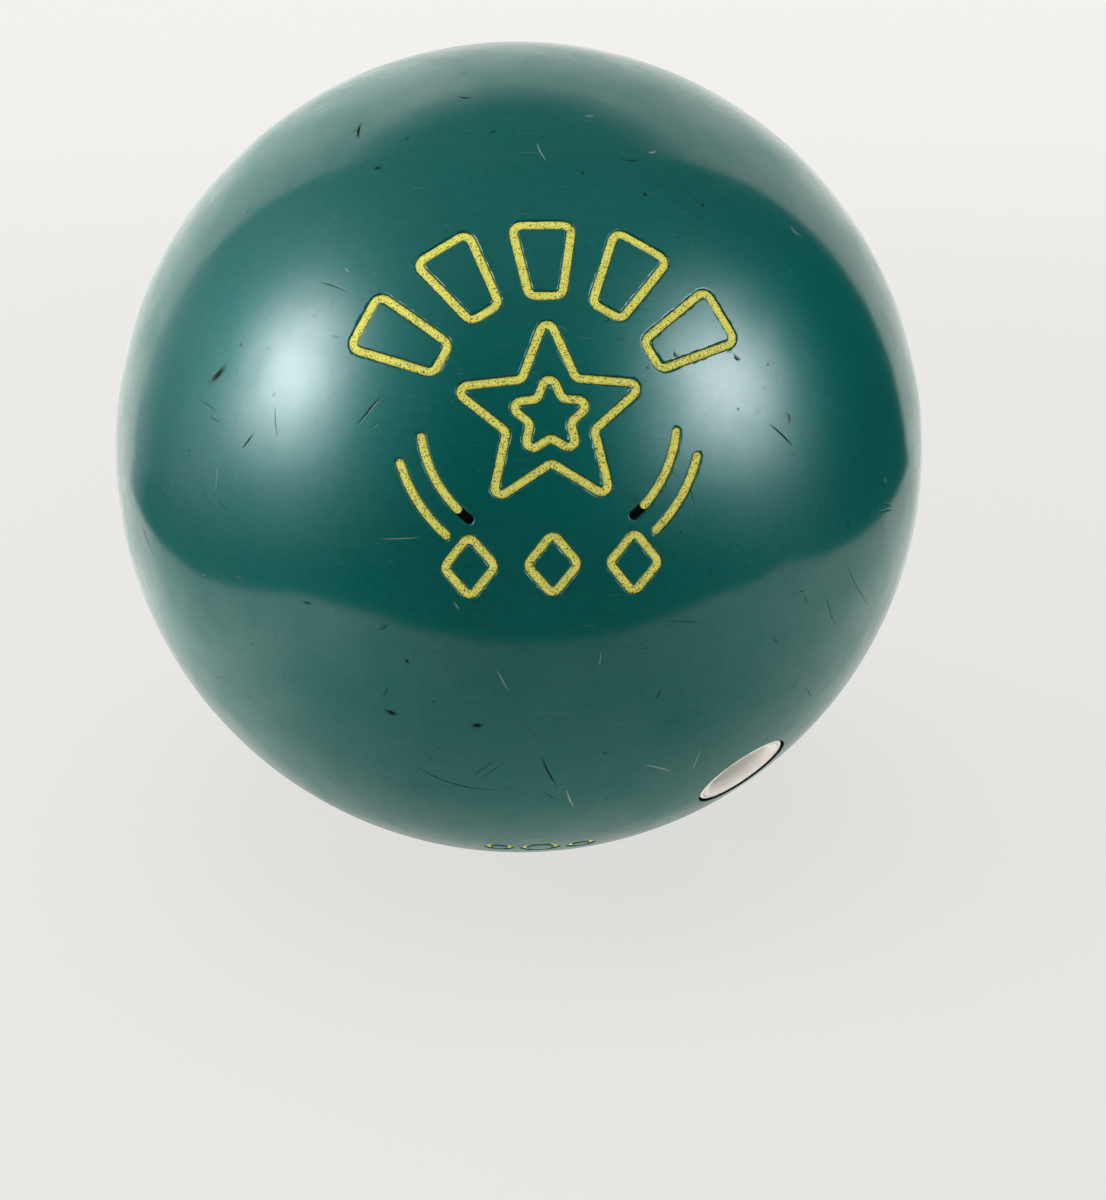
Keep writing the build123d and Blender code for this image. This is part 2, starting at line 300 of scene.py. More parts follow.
def rows_beside(path, closed, distance):
    """The lines that run at a distance from a path: two rings, or one ring around an open path."""
    sides = side_normals(path, closed)
    if closed:
        return [path + sides * distance, path - sides * distance]
    caps = []
    for end, side in ((-1, 1), (0, -1)):
        start = atan2(*(sides[end] * side)[::-1])
        count = max(4, round(pi * distance / ARC_STEP) + 2)
        angles = start - pi * np.linspace(0, 1, count)[1:-1]
        caps.append(path[end] + distance * spokes(angles))
    left, right = path + sides * distance, path - sides * distance
    return [np.concatenate([left, caps[0], right[::-1], caps[1]])]


# ---- lines cut into the ball

CutLine = namedtuple("CutLine", "axes path closed profile guard taper dirt scuff")


def cut_line(place, path, closed, profile, guard, taper=False, dirt=0.0, scuff=0.0):
    """A line cut into the ball. profile is (distance from the line, depth) pairs, and guard is a
    last row of points outside them. The last two values darken and pale the cut: the darkening is
    dirt in a scratch and painted shade in a groove."""
    axes, path, profile = axes_at(facing(*place)), np.array(path, float), np.array(profile, float)
    return CutLine(axes, path, closed, profile, guard, taper, dirt, scuff)


def groove(place, path, closed, width):
    """An engraved groove with steep walls and a slightly rubbed edge; its walls and edge are
    darkened as painted shade.
    """
    half = width / 2
    profile = [(0, GROOVE_DEPTH)] + [(half + past, depth) for past, depth in GROOVE_WALL]
    # The darkening given here is painted shade on the groove's walls and edge, not dirt.
    return cut_line(place, path, closed, profile, half + 0.5, dirt=0.9)


def scratch(place, length, bearing, width, bend=0.0, dirt=0.0, scuff=0.0):
    """A scratch or nick along a bearing, bent sideways by a share of its length."""
    count = max(4, ceil(length / 0.8) + 1)
    along = np.linspace(-0.5, 0.5, count)
    aside = bend * (1 - 4 * along**2)
    turn = radians(bearing)
    ahead = np.array([sin(turn), cos(turn)])
    right = np.array([cos(turn), -sin(turn)])
    path = length * (along[:, None] * ahead + aside[:, None] * right)
    depth = min(SCRATCH_LEAST + SCRATCH_GROWTH * width, SCRATCH_MOST)
    profile = [(0, depth), (width * 0.25, depth * 0.7), (width * 0.5, 0)]
    return cut_line(place, path, False, profile, width / 2 + 0.25, True, dirt, scuff)


def emblem_paths():
    """Every line of the emblem as (path, closed)."""
    closed = [star(1), star(INNER_STAR_SCALE)]
    closed += [ray(number) for number in RAY_NUMBERS]
    closed += [diamond(number) for number in DIAMOND_NUMBERS]
    left = [side_arc(*arc) for arc in SIDE_ARCS]
    right = [path * (-1, 1) for path in left]
    return [(path, True) for path in closed] + [(path, False) for path in left + right]


# The marks that stand out: place, length, bearing, width, bend, dirt and, if pale, scuff.
# Programs worked out every place, and most lengths and bearings, from points read off the
# photo. Some were then rounded or moved.
BOLD_MARKS = (
    ((-45.3, 22.2), 5.2, 42, 2.1, 0.05, 0.75, 0.1), ((-38, 15.3), 4.7, 37, 0.5, 0, 0.9),
    ((-34, 18), 7, 165, 0.3, 0.03, 0.5), ((-21.6, 20.5), 7.8, 36, 0.45, 0, 0.85),
    ((-41.3, 7.2), 4, 111, 0.4, 0, 0.6), ((-42.4, 26.2), 1.2, 114, 0.9, 0.2, 0.5, 0.3),
    ((-44, 17), 4.5, 98, 0.3, 0.05, 0.5), ((16.4, 26.6), 1.7, 148, 0.5, 0.45, 0.8),
    ((25, 25.6), 1.9, 133, 0.55, 0.5, 0.9), ((31, 17.7), 2.2, 5, 0.8, 0.3, 0.5),
    ((29.5, 15.9), 7.7, 135, 0.5, -0.02, 0.95), ((16.4, 11), 6.1, 171, 0.3, 0.03, 0.5),
    ((40.4, 2.8), 4.3, 167, 0.35, 0, 0.6), ((34.8, 5.7), 3.9, 10, 0.3, 0, 0.5),
    ((49.6, 6.6), 1.8, 139, 0.8, 0.1, 0.2, 0.8), ((45, 3.1), 5.5, 142, 0.3, 0.04, 0.5),
    ((48.9, 0.6), 5.8, 149, 0.3, 0.02, 0.5), ((-19.8, -16.1), 2.6, 108, 1.7, 0.1, 0.85),
    ((-9.1, -17.2), 2.5, 80, 1.7, 0, 0.9), ((-16.8, -8.3), 1.1, 148, 0.8, 0.4, 0.9),
    ((-12.6, -27.4), 20, 112, 0.5, 0.1, 0.8), ((-8.8, -24.8), 7.9, 42, 0.4, 0, 0.6),
    ((-7.8, -25.4), 8.6, 43, 0.4, 0, 0.6), ((-20.3, -13.1), 3.2, 30, 0.4, 0.1, 0.7),
    ((-19.4, -4.2), 2.6, 56, 0.5, 0, 0.6), ((-29.1, -2.4), 2, 99, 0.5, 0, 0.7),
    ((-48.4, -17.7), 5.3, 81, 0.3, 0.05, 0.6), ((-59.6, -1), 9.2, 137, 0.4, 0.03, 0.7),
    ((-39.1, -1.2), 1.3, 111, 0.9, 0.1, 0.6, 0.4), ((-5.8, -10.4), 5.4, 157, 0.4, 0, 0, 0.6),
    ((-10.8, -0.9), 2, 148, 0.5, 0, 0, 0.7), ((-15.7, -23.5), 2.7, 169, 0.3, 0, 0.6),
    ((0, -25.5), 11.6, 161, 0.55, 0.02, 0.95), ((3.4, -31.9), 8.3, 164, 0.5, 0.02, 0, 0.9),
    ((15.6, -27.2), 8.8, 121, 0.4, -0.03, 0, 0.9), ((0.5, -30.9), 5.2, 140, 0.35, 0, 0.7),
    ((13.2, -13.8), 3.1, 24, 0.5, 0, 0.85), ((15.3, -4), 7.9, 100, 0.3, 0.03, 0.5),
    ((32.3, -3.4), 2.2, 103, 0.35, 0.1, 0.7), ((33.3, -4.8), 3.3, 146, 0.3, 0, 0.6),
    ((44.5, -6), 22, 135, 0.35, 0.04, 0.6), ((38.7, -7.8), 12, 147, 0.35, 0.03, 0.6),
    ((29.1, -9.4), 2.4, 138, 0.4, 0, 0.7), ((35.1, -17.3), 5, 15, 0.35, 0.03, 0.6),
    ((39.8, -20.8), 5.9, 136, 0.35, 0, 0.6), ((40.2, -27.2), 3.1, 74, 0.4, 0, 0.6),
    ((7.2, -22.5), 2.1, 138, 0.5, 0, 0.7), ((-2.3, -18.2), 9.8, 150, 0.25, 0.02, 0.4),
    ((-40.3, 56.5), 5.5, 150, 0.9, 0.05, 0.9), ((1, 53.5), 5.6, 164, 0.4, 0.05, 0, 0.8),
    ((-30, 50.5), 1.8, 85, 1.1, 0.1, 0.9), ((-27, 55.5), 1, 60, 0.8, 0, 0.9),
    ((-9, 57), 1.9, 50, 0.8, 0.1, 0.8), ((-18, 64), 3.2, 100, 0.8, 0.1, 0.8),
    ((8, 50), 1.1, 20, 0.9, 0, 0.7), ((18, 46.5), 1, 0, 0.9, 0, 0.9),
    ((28, 44.5), 1.1, 0, 0.8, 0, 0.9), ((18, 52), 4.5, 95, 0.7, 0.15, 0.6),
    ((23.5, 53), 2, 80, 0.7, 0.1, 0, 0.8), ((13.5, 60), 2.4, 90, 0.5, 0.1, 0, 0.7),
    ((45.5, 39.5), 2.6, 150, 1.3, 0.2, 0.3, 0.5),
)
STRAY_MARKS = 170
STRAY_SEED = 11


def stray_marks(holes):
    """Short fine scratches scattered over the ball, clear of its holes and its poles."""
    chance = random.Random(STRAY_SEED)
    marks = []
    while len(marks) < STRAY_MARKS:
        azimuth = chance.uniform(-180, 180)
        elevation = degrees(asin(chance.uniform(-0.97, 0.97)))
        length = 1.2 + 9 * chance.random() ** 3
        bearing = chance.uniform(0, 180)
        width = chance.uniform(0.22, 0.4)
        bend = chance.uniform(-0.06, 0.06)
        pale = chance.random() < 0.2
        tone = chance.uniform(0.3, 0.8)
        here = facing(azimuth, elevation) * BALL_RADIUS
        if all(np.linalg.norm(here - hole.mouth) > hole.radius + 10 for hole in holes):
            tones = {"scuff": tone} if pale else {"dirt": tone}
            marks.append(scratch((azimuth, elevation), length, bearing, width, bend, **tones))
    return marks


def beside_path(points, path, closed):
    """The distance from each 2-D point to a path, and how far along it the nearest spot lies."""
    ends = np.roll(path, -1, 0) if closed else path[1:]
    starts = path[: len(ends)]
    step = ends - starts
    share = ((points[:, None] - starts) * step).sum(2) / (step**2).sum(1)
    share = np.clip(share, 0, 1)
    gap = np.linalg.norm(points[:, None] - starts - share[..., None] * step, axis=2)
    nearest = gap.argmin(1)
    rows = np.arange(len(points))
    return gap[rows, nearest], (nearest + share[rows, nearest]) / len(ends)


def cut_depths(points, lines):
    """How deep the lines cut each point of the ball, with the darkening (dirt in scratches,
    painted shade in grooves) and the scuff found there.
    """
    depth, dirt, scuff = (np.zeros(len(points)) for _ in range(3))
    for line in lines:
        local = points @ line.axes.T
        low = line.path.min(0) - line.guard - 0.5
        high = line.path.max(0) + line.guard + 0.5
        inside = (local[:, :2] > low).all(1) & (local[:, :2] < high).all(1) & (local[:, 2] > 0)
        near = np.flatnonzero(inside)
        if not len(near):
            continue
        gap, share = beside_path(local[near, :2], line.path, line.closed)
        cut = np.interp(gap, *line.profile.T)
        if line.taper:
            cut *= np.sin(pi * np.clip(share, TAPER_END, 1 - TAPER_END)) ** TAPER_POWER
        shade = cut / line.profile[0, 1]
        depth[near] = np.maximum(depth[near], cut)
        dirt[near] = np.maximum(dirt[near], shade * line.dirt)
        scuff[near] = np.maximum(scuff[near], shade * line.scuff)
    return depth, dirt, scuff


# ---- meshes


def scattered(spacing):
    """Unit vectors spread evenly over the ball, about a spacing apart."""
    count = round(4 * pi * BALL_RADIUS**2 / (spacing**2 * CELL_AREA))
    turn = pi * (3 - sqrt(5)) * np.arange(count)
    height = 1 - (2 * np.arange(count) + 1) / count
    flat = np.sqrt(1 - height**2)
    return np.column_stack([np.cos(turn) * flat, np.sin(turn) * flat, height])


def circle_at(axes, radius, height, count):
    """A circle of points about the line out through a place."""
    flat = radius * spokes(tau * np.arange(count) / count)
    return np.column_stack([flat, np.full(count, height)]) @ axes


def kd_of(points):
    tree = KDTree(len(points))
    for number, point in enumerate(points):
        tree.insert(point, number)
    tree.balance()
    return tree


def nearest(points, tree):
    """The numbers of the tree's points that lie nearest to each of these points."""
    return [tree.find(point)[1] for point in points]


def clear_of(points, others, gap):
    """The points that lie further than gap from every one of the others."""
    tree = kd_of(others)
    keep = [tree.find(point)[2] > gap for point in points]
    return points[np.array(keep)]


# The ball is laid out on a plane from its front. A fan of BACK_SIDES closes the far side.
FRONT = axes_at(facing(25, -10))
BACK_ANGLE, BACK_CLEARANCE = radians(177.6), radians(1.5)
BACK_SIDES = 32


def flattened(points):
    """Points on the ball laid out on a plane, seen from the point opposite the plane's centre."""
    local = unit_rows(points @ FRONT.T)
    return 2 * BALL_RADIUS * local[:, :2] / (1 + local[:, 2:])


def lifted(flat):
    """The unit vectors that flattened() took to these points of the plane."""
    scaled = np.asarray(flat) / (2 * BALL_RADIUS)
    square = (scaled**2).sum(1)
    local = np.column_stack([2 * scaled, 1 - square]) / (1 + square)[:, None]
    return local @ FRONT


def triangulated(seeds, rings, lines):
    """Unit vectors and triangles over the whole ball that keep every ring and line as edges."""
    back = circle_at(FRONT, sin(BACK_ANGLE), cos(BACK_ANGLE), BACK_SIDES)
    front_of_back = seeds @ FRONT[2] > cos(BACK_ANGLE - BACK_CLEARANCE)
    points, edges = [seeds[front_of_back]], []
    start = len(points[0])
    for row, closed in [(back, True)] + [(ring, True) for ring in rings] + lines:
        last = len(row) if closed else len(row) - 1
        edges += [(start + k, start + (k + 1) % len(row)) for k in range(last)]
        points.append(row)
        start += len(row)
    flat = flattened(np.concatenate(points))
    found = delaunay_2d_cdt([Vector(p) for p in flat], edges, [], 0, MERGE_DISTANCE)
    places = lifted(np.array([tuple(p) for p in found[0]]))
    rim = nearest(back, kd_of(places))
    fan = [(rim[(k + 1) % BACK_SIDES], rim[k], len(places)) for k in range(BACK_SIDES)]
    return np.vstack([places, -FRONT[2]]), [tuple(face) for face in found[2]] + fan


def outside_holes(directions, holes, radii, ball_radius):
    """Which unit vectors point outside every hole, each of its own radius, in a ball's surface."""
    keep = np.ones(len(directions), bool)
    for hole, radius in zip(holes, radii):
        keep &= directions @ hole.axes[2] < sqrt(1 - (radius / ball_radius) ** 2)
    return keep


def without_holes(places, faces, holes, radii, ball_radius):
    """The triangles outside every hole."""
    keep = outside_holes(unit_rows(places[np.array(faces)].mean(1)), holes, radii, ball_radius)
    return [face for face, kept in zip(faces, keep) if kept]


def linked_object(name, data):
    made = bpy.data.objects.new(name, data)
    bpy.context.scene.collection.objects.link(made)
    return made


def to_object(name, points, faces):
    """A smooth-shaded mesh object from points in millimetres."""
    mesh = bpy.data.meshes.new(name)
    mesh.from_pydata((np.asarray(points) * METRE).tolist(), [], [list(map(int, f)) for f in faces])
    mesh.update()
    mesh.shade_smooth()
    return linked_object(name, mesh)


def line_rows(line):
    """Every row of points that a cut line needs on the ball, as (unit vectors, closed)."""
    path, closed, axes = line.path, line.closed, line.axes
    distances = [distance for distance, _ in line.profile if distance > 0] + [line.guard]
    rows = [(path, closed)]
    for distance in distances:
        for row in rows_beside(path, closed, distance):
            gap, _ = beside_path(row, path, closed)
            row = row[gap > distance - ROW_TOLERANCE]
            if len(row) > 3:
                rows.append((row, True))
    return [(raise_from(row, axes) / BALL_RADIUS, shut) for row, shut in rows]


# ---- the cover

Hole = namedtuple("Hole", "axes radius mouth_radius mouth bevel")


def hole_at(axis, radius, bevel):
    """A straight hole towards the centre of the ball."""
    axis = unit(np.array(axis, float))
    mouth = axis * sqrt(BALL_RADIUS**2 - radius**2)
    return Hole(axes_at(axis), radius, radius + bevel, mouth, bevel)


def rings_on(holes, radii, ball_radius):
    """The circles where cylinders about the holes' axes meet a ball, as unit vectors."""
    sections = [(radius, sqrt(ball_radius**2 - radius**2)) for radius in radii]
    return [
        circle_at(hole.axes, radius / ball_radius, height / ball_radius, HOLE_SIDES)
        for hole, (radius, height) in zip(holes, sections)
    ]


def seeds_outside(seeds, holes, clearance):
    """The unit vectors that lie further than a clearance from the edge of every hole."""
    radii = [hole.mouth_radius + clearance for hole in holes]
    return seeds[outside_holes(seeds, holes, radii, BALL_RADIUS)]


def cover_mesh(holes, lines):
    """Points, triangles, darkening, scuff and the untouched points of the whole cover. The
    darkening is dirt in scratches and painted shade in the grooves and down the walls of the
    holes.
    """
    rows = [row for line in lines for row in line_rows(line)]
    emblem_axis = facing(*EMBLEM_PLACE)
    near_emblem = cos(EMBLEM_REACH / BALL_RADIUS)
    coarse, fine = scattered(BASE_SPACING), scattered(EMBLEM_SPACING)
    coarse = coarse[coarse @ emblem_axis < near_emblem]
    fine = fine[fine @ emblem_axis >= near_emblem]
    row_points = np.concatenate([row for row, _ in rows])
    coarse = clear_of(coarse, row_points, BASE_CLEARANCE / BALL_RADIUS)
    fine = clear_of(fine, row_points, EMBLEM_CLEARANCE / BALL_RADIUS)
    seeds = seeds_outside(np.concatenate([coarse, fine]), holes, HOLE_CLEARANCE)
    mouth_radii = [hole.mouth_radius for hole in holes]
    mouths = rings_on(holes, mouth_radii, BALL_RADIUS)
    places, faces = triangulated(seeds, mouths, rows)
    faces = without_holes(places, faces, holes, mouth_radii, BALL_RADIUS)
    depth, dirt, scuff = cut_depths(places * BALL_RADIUS, lines)
    points = places * (BALL_RADIUS - depth)[:, None]
    untouched = depth == 0

    radii = [hole.radius for hole in holes]
    inner_rings = rings_on(holes, radii, CORE_RADIUS)
    inner_seeds = seeds_outside(scattered(INNER_SPACING), holes, INNER_CLEARANCE)
    inner_places, inner_faces = triangulated(inner_seeds, inner_rings, [])
    inner_faces = without_holes(inner_places, inner_faces, holes, radii, CORE_RADIUS)
    start = len(points)
    faces += [tuple(start + corner for corner in face[::-1]) for face in inner_faces]
    points = np.vstack([points, inner_places * CORE_RADIUS])

    outer_tree, inner_tree = kd_of(places), kd_of(inner_places)
    for hole, mouth, inner in zip(holes, mouths, inner_rings):
        top = nearest(mouth, outer_tree)
        bottom = [start + number for number in nearest(inner, inner_tree)]
        rim_height = sqrt(BALL_RADIUS**2 - hole.radius**2) - hole.bevel
        rims = [len(points) + k for k in range(HOLE_SIDES)]
        rim = circle_at(hole.axes, hole.radius, rim_height, HOLE_SIDES)
        points = np.vstack([points, rim])
        for upper, lower in ((top, rims), (rims, bottom)):
            for k in range(HOLE_SIDES):
                after = (k + 1) % HOLE_SIDES
                faces.append((upper[k], lower[k], lower[after], upper[after]))
    clean = np.zeros(len(points) - len(places))
    # The walls of the holes are darkened from just under their mouths, as painted shade in the
    # seams' gaps.
    shaded_hole_walls = clean + (np.arange(len(clean)) >= len(inner_places))
    dirt, scuff = np.append(dirt, shaded_hole_walls), np.append(scuff, clean)
    return points, faces, dirt, scuff, np.append(untouched, clean > 0)


def make_cover(holes, lines):
    """The cover as one closed shell, with exact normals wherever the ball is untouched."""
    points, faces, dirt, scuff, untouched = cover_mesh(holes, lines)
    used = np.unique(np.concatenate([np.array(face) for face in faces]))
    renumbered = np.full(len(points), -1)
    renumbered[used] = np.arange(len(used))
    faces = [tuple(renumbered[list(face)]) for face in faces]
    points, dirt, scuff, untouched = (array[used] for array in (points, dirt, scuff, untouched))
    cover = to_object("cover", points, faces)
    mesh = cover.data
    for name, values in (("dirt", dirt), ("scuff", scuff)):
        mesh.attributes.new(name, "FLOAT", "POINT").data.foreach_set("value", values)
    normals = np.array([vertex.normal for vertex in mesh.vertices])
    normals[untouched] = unit_rows(points)[untouched]
    mesh.normals_split_custom_set_from_vertices(normals.tolist())
    return cover


# ---- turned pieces and paint


def turned(name, axis, section):
    """A closed piece turned about a line out through the ball, from its (radius, height) section,
    which runs with the piece on its left. Points on the axis become single points."""
    east, north, outward = axes_at(unit(np.array(axis, float)))
    cos_sin = spokes(tau * np.arange(TURN_SIDES) / TURN_SIDES)
    around = cos_sin[:, :1] * east + cos_sin[:, 1:] * north
    points, rings, faces = [], [], []
    for radius, height in section:
        ring = [height * outward] if radius == 0 else list(radius * around + height * outward)
        rings.append(range(len(points), len(points) + len(ring)))
        points += ring
    for lower, upper in zip(rings, rings[1:] + rings[:1]):
        for k in range(TURN_SIDES):
            after = (k + 1) % TURN_SIDES
            if len(lower) > 1 and len(upper) > 1:
                faces.append((lower[k], lower[after], upper[after], upper[k]))
            elif len(lower) > 1:
                faces.append((lower[k], lower[after], upper[0]))
            elif len(upper) > 1:
                faces.append((lower[0], upper[after], upper[k]))
    return to_object(name, points, faces)


def on_ball(radius, ball_radius=BALL_RADIUS):
    """The (radius, height) point where a cylinder meets a ball."""
    return radius, sqrt(ball_radius**2 - radius**2)


def rounded_edge(radius, rounding, side, level=BALL_RADIUS):
    """An arc from a ball's surface down to a wall. side is 1 for an outer wall, -1 for a bore."""
    across, up = on_ball(radius - side * rounding, level - rounding)
    angles = np.linspace(atan2(up, across), 0 if side == 1 else pi, 9)
    return [(across + rounding * cos(a), up + rounding * sin(a)) for a in angles]


def top_between(inner, outer, count=3, level=BALL_RADIUS):
    """Points along the surface of a ball between two radii."""
    return [on_ball(radius, level) for radius in np.linspace(inner, outer, count + 2)[1:-1]]


def noise_along(path, phase):
    return np.array([noise.noise(Vector((x, y, phase))) for x, y in path])


def paint_strip(path, closed, width, place, phase):
    """The points and faces of one painted line: a flat-bottomed tube with a lumpy top."""
    half = width / 2 - PAINT_GAP
    reaches = np.full(len(path), half)
    if not closed:
        quarter = np.linspace(0, pi / 2, 5)[1:]
        caps = half * np.sin(quarter)
        first, last = unit(path[0] - path[1]), unit(path[-1] - path[-2])
        before = [path[0] + first * cap for cap in caps[::-1]]
        after = [path[-1] + last * cap for cap in caps]
        path = np.concatenate([before, path, after])
        ends = half * np.cos(quarter) + 0.02
        reaches = np.concatenate([ends[::-1], reaches, ends])
    sides = side_normals(path, closed)
    axes = axes_at(facing(*place))
    rows = []
    for share, depth in PAINT_SECTION:
        wobble = PAINT_WOBBLE * noise_along(path * 0.8, phase + share)
        row = path + sides * (reaches * share + wobble)[:, None]
        lift = PAINT_LUMPS * noise_along(row * 0.9, phase) * (depth < PAINT_TOP)
        level = BALL_RADIUS - PAINT_RECESS - depth + lift
        rows.append(raise_from(row, axes) / BALL_RADIUS * level[:, None])
    sides_count, length = len(rows), len(path)
    points = np.concatenate(rows)
    faces = []
    for k in range(length if closed else length - 1):
        after = (k + 1) % length
        for side in range(sides_count):
            row, beyond = side * length, (side + 1) % sides_count * length
            faces.append((row + k, beyond + k, beyond + after, row + after))
    if not closed:
        faces.append(tuple(side * length for side in range(sides_count))[::-1])
        faces.append(tuple(side * length + length - 1 for side in range(sides_count)))
    return points, faces


def make_paint(name, lines, width, place):
    """One object for all the painted lines of an engraving."""
    points, faces = [], []
    for number, (path, closed) in enumerate(lines):
        start = sum(len(found) for found in points)
        found, corners = paint_strip(path, closed, width, place, 10 * number)
        points.append(found)
        faces += [tuple(start + corner for corner in face) for face in corners]
    return to_object(name, np.concatenate(points), faces)


def without_chip(path):
    """An open path without the spot at its far end where the paint has broken away."""
    gap = np.linalg.norm(path - path[-1], axis=1)
    return path[gap > CHIP_RADIUS + LINE_WIDTH / 2]


# ---- the pieces

mounts = {mount["name"]: mount for mount in frame["record"]["mounts"]}
ring_axis = mounts["ring_finger_bore"]["axis"]
middle_axis = mounts["middle_finger_bore"]["axis"]
thumb_axis = mounts["thumb_bore"]["axis"]
pin_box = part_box("locator_pin")
pin_axis = unit(np.array(pin_box[0] + pin_box[1]))
pin_bottom = sqrt(sum(c**2 for c in (pin_box[0] + pin_box[1]) / METRE)) - BALL_RADIUS

holes = [
    hole_at(ring_axis, FINGER_HOLE_RADIUS, MOUTH_CHAMFER),
    hole_at(middle_axis, FINGER_HOLE_RADIUS, MOUTH_CHAMFER),
    hole_at(thumb_axis, THUMB_HOLE_RADIUS, MOUTH_CHAMFER),
    hole_at(pin_axis, PIN_RADIUS, PIN_SEAM),
]
emblem_lines = emblem_paths()
lower_lines = [(hexagon(x, radius), True) for x, radius in HEXAGONS]
lines = [groove(EMBLEM_PLACE, path, closed, LINE_WIDTH) for path, closed in emblem_lines]
lines += [groove(LOWER_MARK_PLACE, path, closed, LOWER_LINE_WIDTH) for path, closed in lower_lines]
lines += [scratch(*mark) for mark in BOLD_MARKS]
lines += stray_marks(holes)
cover = make_cover(holes, lines)

painted = list(emblem_lines)
for inner_arc in (-2 * len(SIDE_ARCS), -len(SIDE_ARCS)):
    painted[inner_arc] = without_chip(painted[inner_arc][0]), False
emblem_paint = make_paint("emblem_filling", painted, LINE_WIDTH, EMBLEM_PLACE)
lower_paint = make_paint("lower_filling", lower_lines, LOWER_LINE_WIDTH, LOWER_MARK_PLACE)

insert_level = BALL_RADIUS - INSERT_RECESS
insert_bottom = insert_level - INSERT_LENGTH
slug_bottom = BALL_RADIUS - SLUG_LENGTH


def insert(name, axis, bore):
    """An open tube with a rounded lip, its mouth following the ball."""
    edge = rounded_edge(INSERT_RADIUS, INSERT_EDGE, 1, insert_level)[::-1]
    top = top_between(bore + INSERT_LIP, INSERT_RADIUS - INSERT_EDGE, level=insert_level)[::-1]
    lip = rounded_edge(bore, INSERT_LIP, -1, insert_level)
    section = [(bore, insert_bottom), (INSERT_RADIUS, insert_bottom)] + edge + top + lip
    return turned(name, axis, section)


def sleeve(name, axis, inner, outer, bottom, recess):
    """A sleeve of glue that stops short of the surface."""
    top = [on_ball(outer, BALL_RADIUS - recess), on_ball(inner, BALL_RADIUS - recess)]
    return turned(name, axis, [(inner, bottom), (outer, bottom)] + top)


ring_insert = insert("ring_insert", ring_axis, RING_BORE_RADIUS)
middle_insert = insert("middle_insert", middle_axis, MIDDLE_BORE_RADIUS)
finger_seam = INSERT_RADIUS, FINGER_HOLE_RADIUS, insert_bottom, INSERT_GLUE_RECESS
ring_glue = sleeve("ring_glue", ring_axis, *finger_seam)
middle_glue = sleeve("middle_glue", middle_axis, *finger_seam)
thumb_seam = SLUG_RADIUS, THUMB_HOLE_RADIUS, slug_bottom, GLUE_RECESS
thumb_sleeve = sleeve("thumb_sleeve", thumb_axis, *thumb_seam)

thumb_floor = BALL_RADIUS - THUMB_BORE_DEPTH
drill_tip = thumb_floor - THUMB_BORE_RADIUS / tan(radians(DRILL_POINT_ANGLE / 2))
slug_section = [(0, slug_bottom), (SLUG_RADIUS, slug_bottom)]
slug_section += rounded_edge(SLUG_RADIUS, INSERT_EDGE, 1)[::-1]
slug_section += top_between(THUMB_BORE_RADIUS + SLUG_LIP, SLUG_RADIUS - INSERT_EDGE)[::-1]
slug_section += rounded_edge(THUMB_BORE_RADIUS, SLUG_LIP, -1)
slug_section += [(THUMB_BORE_RADIUS, thumb_floor), (0, drill_tip)]
slug = turned("slug", thumb_axis, slug_section)
pin_section = [(0, pin_bottom), (PIN_RADIUS, pin_bottom), on_ball(PIN_RADIUS)]
pin_section += top_between(0, PIN_RADIUS, 2)[::-1] + [(0, BALL_RADIUS)]
pin = turned("pin", pin_axis, pin_section)


# ---- materials


def fill(node, inputs):
    """Gives a node's inputs their values: numbers, colours or other nodes' outputs."""
    for key, value in inputs.items():
        if isinstance(value, bpy.types.NodeSocket):
            node.id_data.links.new(value, node.inputs[key])
        else:
            whole = (*value, 1) if node.inputs[key].type == "RGBA" else value
            node.inputs[key].default_value = whole


def plug(shader, **sockets):
    """Gives a shader's sockets their values. An underscore stands for a space in their names."""
    fill(shader, {socket.replace("_", " "): value for socket, value in sockets.items()})


def material(name, base, roughness):
    """A Principled material, with its node tree and shader."""
    made = bpy.data.materials.new(name)
    made.use_nodes = True
    shader = made.node_tree.nodes["Principled BSDF"]
    plug(shader, Base_Color=base, Roughness=roughness)
    return made, made.node_tree, shader


def add_node(tree, kind, inputs=None, **settings):
    """A node with its settings and its inputs."""
    node = tree.nodes.new("ShaderNode" + kind)
    for key, value in settings.items():
        setattr(node, key, value)
    fill(node, inputs or {})
    return node


def place_in(tree):
    """Where a point of the piece is, in metres in the shared frame."""
    return add_node(tree, "TexCoord").outputs["Object"]


def noise_in(tree, scale, detail=3, roughness=0.5, vector=None):
    """A noise texture's value. The scale is in features per metre."""
    inputs = {"Scale": scale, "Detail": detail, "Roughness": roughness}
    inputs["Vector"] = vector or place_in(tree)
    return add_node(tree, "TexNoise", inputs).outputs["Fac"]


def spread(tree, value, low, high, to_low=0.0, to_high=1.0):
    """A value's range stretched to another range, and held inside it."""
    inputs = {0: value, 1: low, 2: high, 3: to_low, 4: to_high}
    return add_node(tree, "MapRange", inputs).outputs["Result"]


def blend(tree, share, first, second):
    """Two colours mixed by a share from 0 to 1."""
    return add_node(tree, "Mix", {0: share, 6: first, 7: second}, data_type="RGBA").outputs[2]


def maths(tree, operation, first, second):
    """One sum on two values."""
    return add_node(tree, "Math", {0: first, 1: second}, operation=operation).outputs[0]


def along_axis(tree, vector, direction):
    """A vector's dot product with a direction."""
    node = add_node(tree, "VectorMath", {0: vector, 1: direction}, operation="DOT_PRODUCT")
    return node.outputs["Value"]


def bump(tree, height, distance, strength=1.0):
    """A bump normal from a height. The distance is in metres."""
    inputs = {"Height": height, "Distance": distance, "Strength": strength}
    return add_node(tree, "Bump", inputs).outputs["Normal"]


